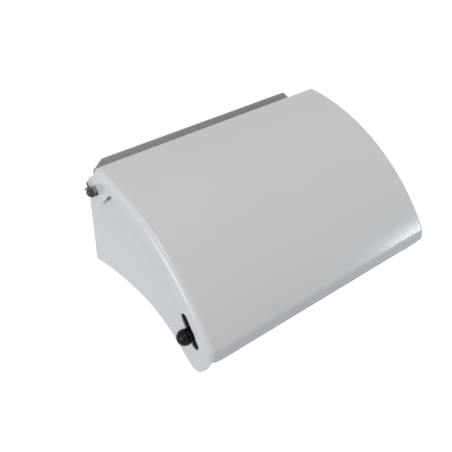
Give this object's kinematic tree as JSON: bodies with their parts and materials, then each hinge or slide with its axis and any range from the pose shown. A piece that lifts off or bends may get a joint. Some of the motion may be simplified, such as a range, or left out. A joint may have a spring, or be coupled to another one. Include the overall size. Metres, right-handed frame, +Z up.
{
  "type": "toilet roll dispenser",
  "caption": "Wide wall dispenser for toilet rolls side by side, with a curved lift-up hood, a sliding knob latch and a lift-out spindle.",
  "frame": {"origin": "centre of the wall screw pattern, on the back plate's rear face", "axes": "+X along the hood to the right as seen from the front, +Y into the wall, +Z up"},
  "size_m": [0.3404, 0.229, 0.1578],
  "materials": {
    "white_coat": "smooth off-white powder coat",
    "zinc_steel": "bright zinc plate",
    "spring_wire": "dark spring wire",
    "black_oxide": "black oxide, slightly oily",
    "nylon": "natural nylon",
    "rubber": "soft black rubber",
    "grey_plastic": "moulded grey plastic",
    "black_plastic": "moulded black acetal",
    "black_gloss": "polished black phenolic"
  },
  "bodies": {
    "bracket": {"wall_bracket": "white_coat", "hinge_bolt_left": "zinc_steel", "hinge_bolt_right": "zinc_steel", "hinge_spacer_left": "nylon", "hinge_spacer_right": "nylon", "hinge_collar_left": "grey_plastic", "hinge_collar_right": "grey_plastic", "split_pin_left": "spring_wire", "split_pin_right": "spring_wire", "hinge_nut_left": "black_oxide", "hinge_nut_right": "black_oxide", "edge_bumper_left": "rubber", "edge_bumper_right": "rubber", "cradle_left": "white_coat", "cradle_right": "white_coat"},
    "hood": {"hood": "white_coat"},
    "spindle": {"spindle_tube": "zinc_steel", "spindle_plug_left": "grey_plastic", "spindle_plug_right": "grey_plastic"},
    "latch": {"latch_slider": "black_plastic", "latch_stud": "zinc_steel", "latch_washer": "black_plastic", "latch_nut": "zinc_steel", "latch_knob": "black_gloss"}
  },
  "joints": [
    {"name": "hood_hinge", "type": "hinge", "parent": "bracket", "child": "hood", "pos_m": [0, -0.0296, 0.0492], "axis": [-1, 0, 0], "range_deg": [0, 95]},
    {"name": "spindle_roll", "type": "hinge", "parent": "bracket", "child": "spindle", "pos_m": [0, -0.096, -0.005], "axis": [1, 0, 0], "continuous": true},
    {"name": "latch_slide", "type": "slide", "parent": "bracket", "child": "latch", "axis": [0, -0.5878, -0.809], "range_m": [-0.0154, 0.011]}
  ]
}
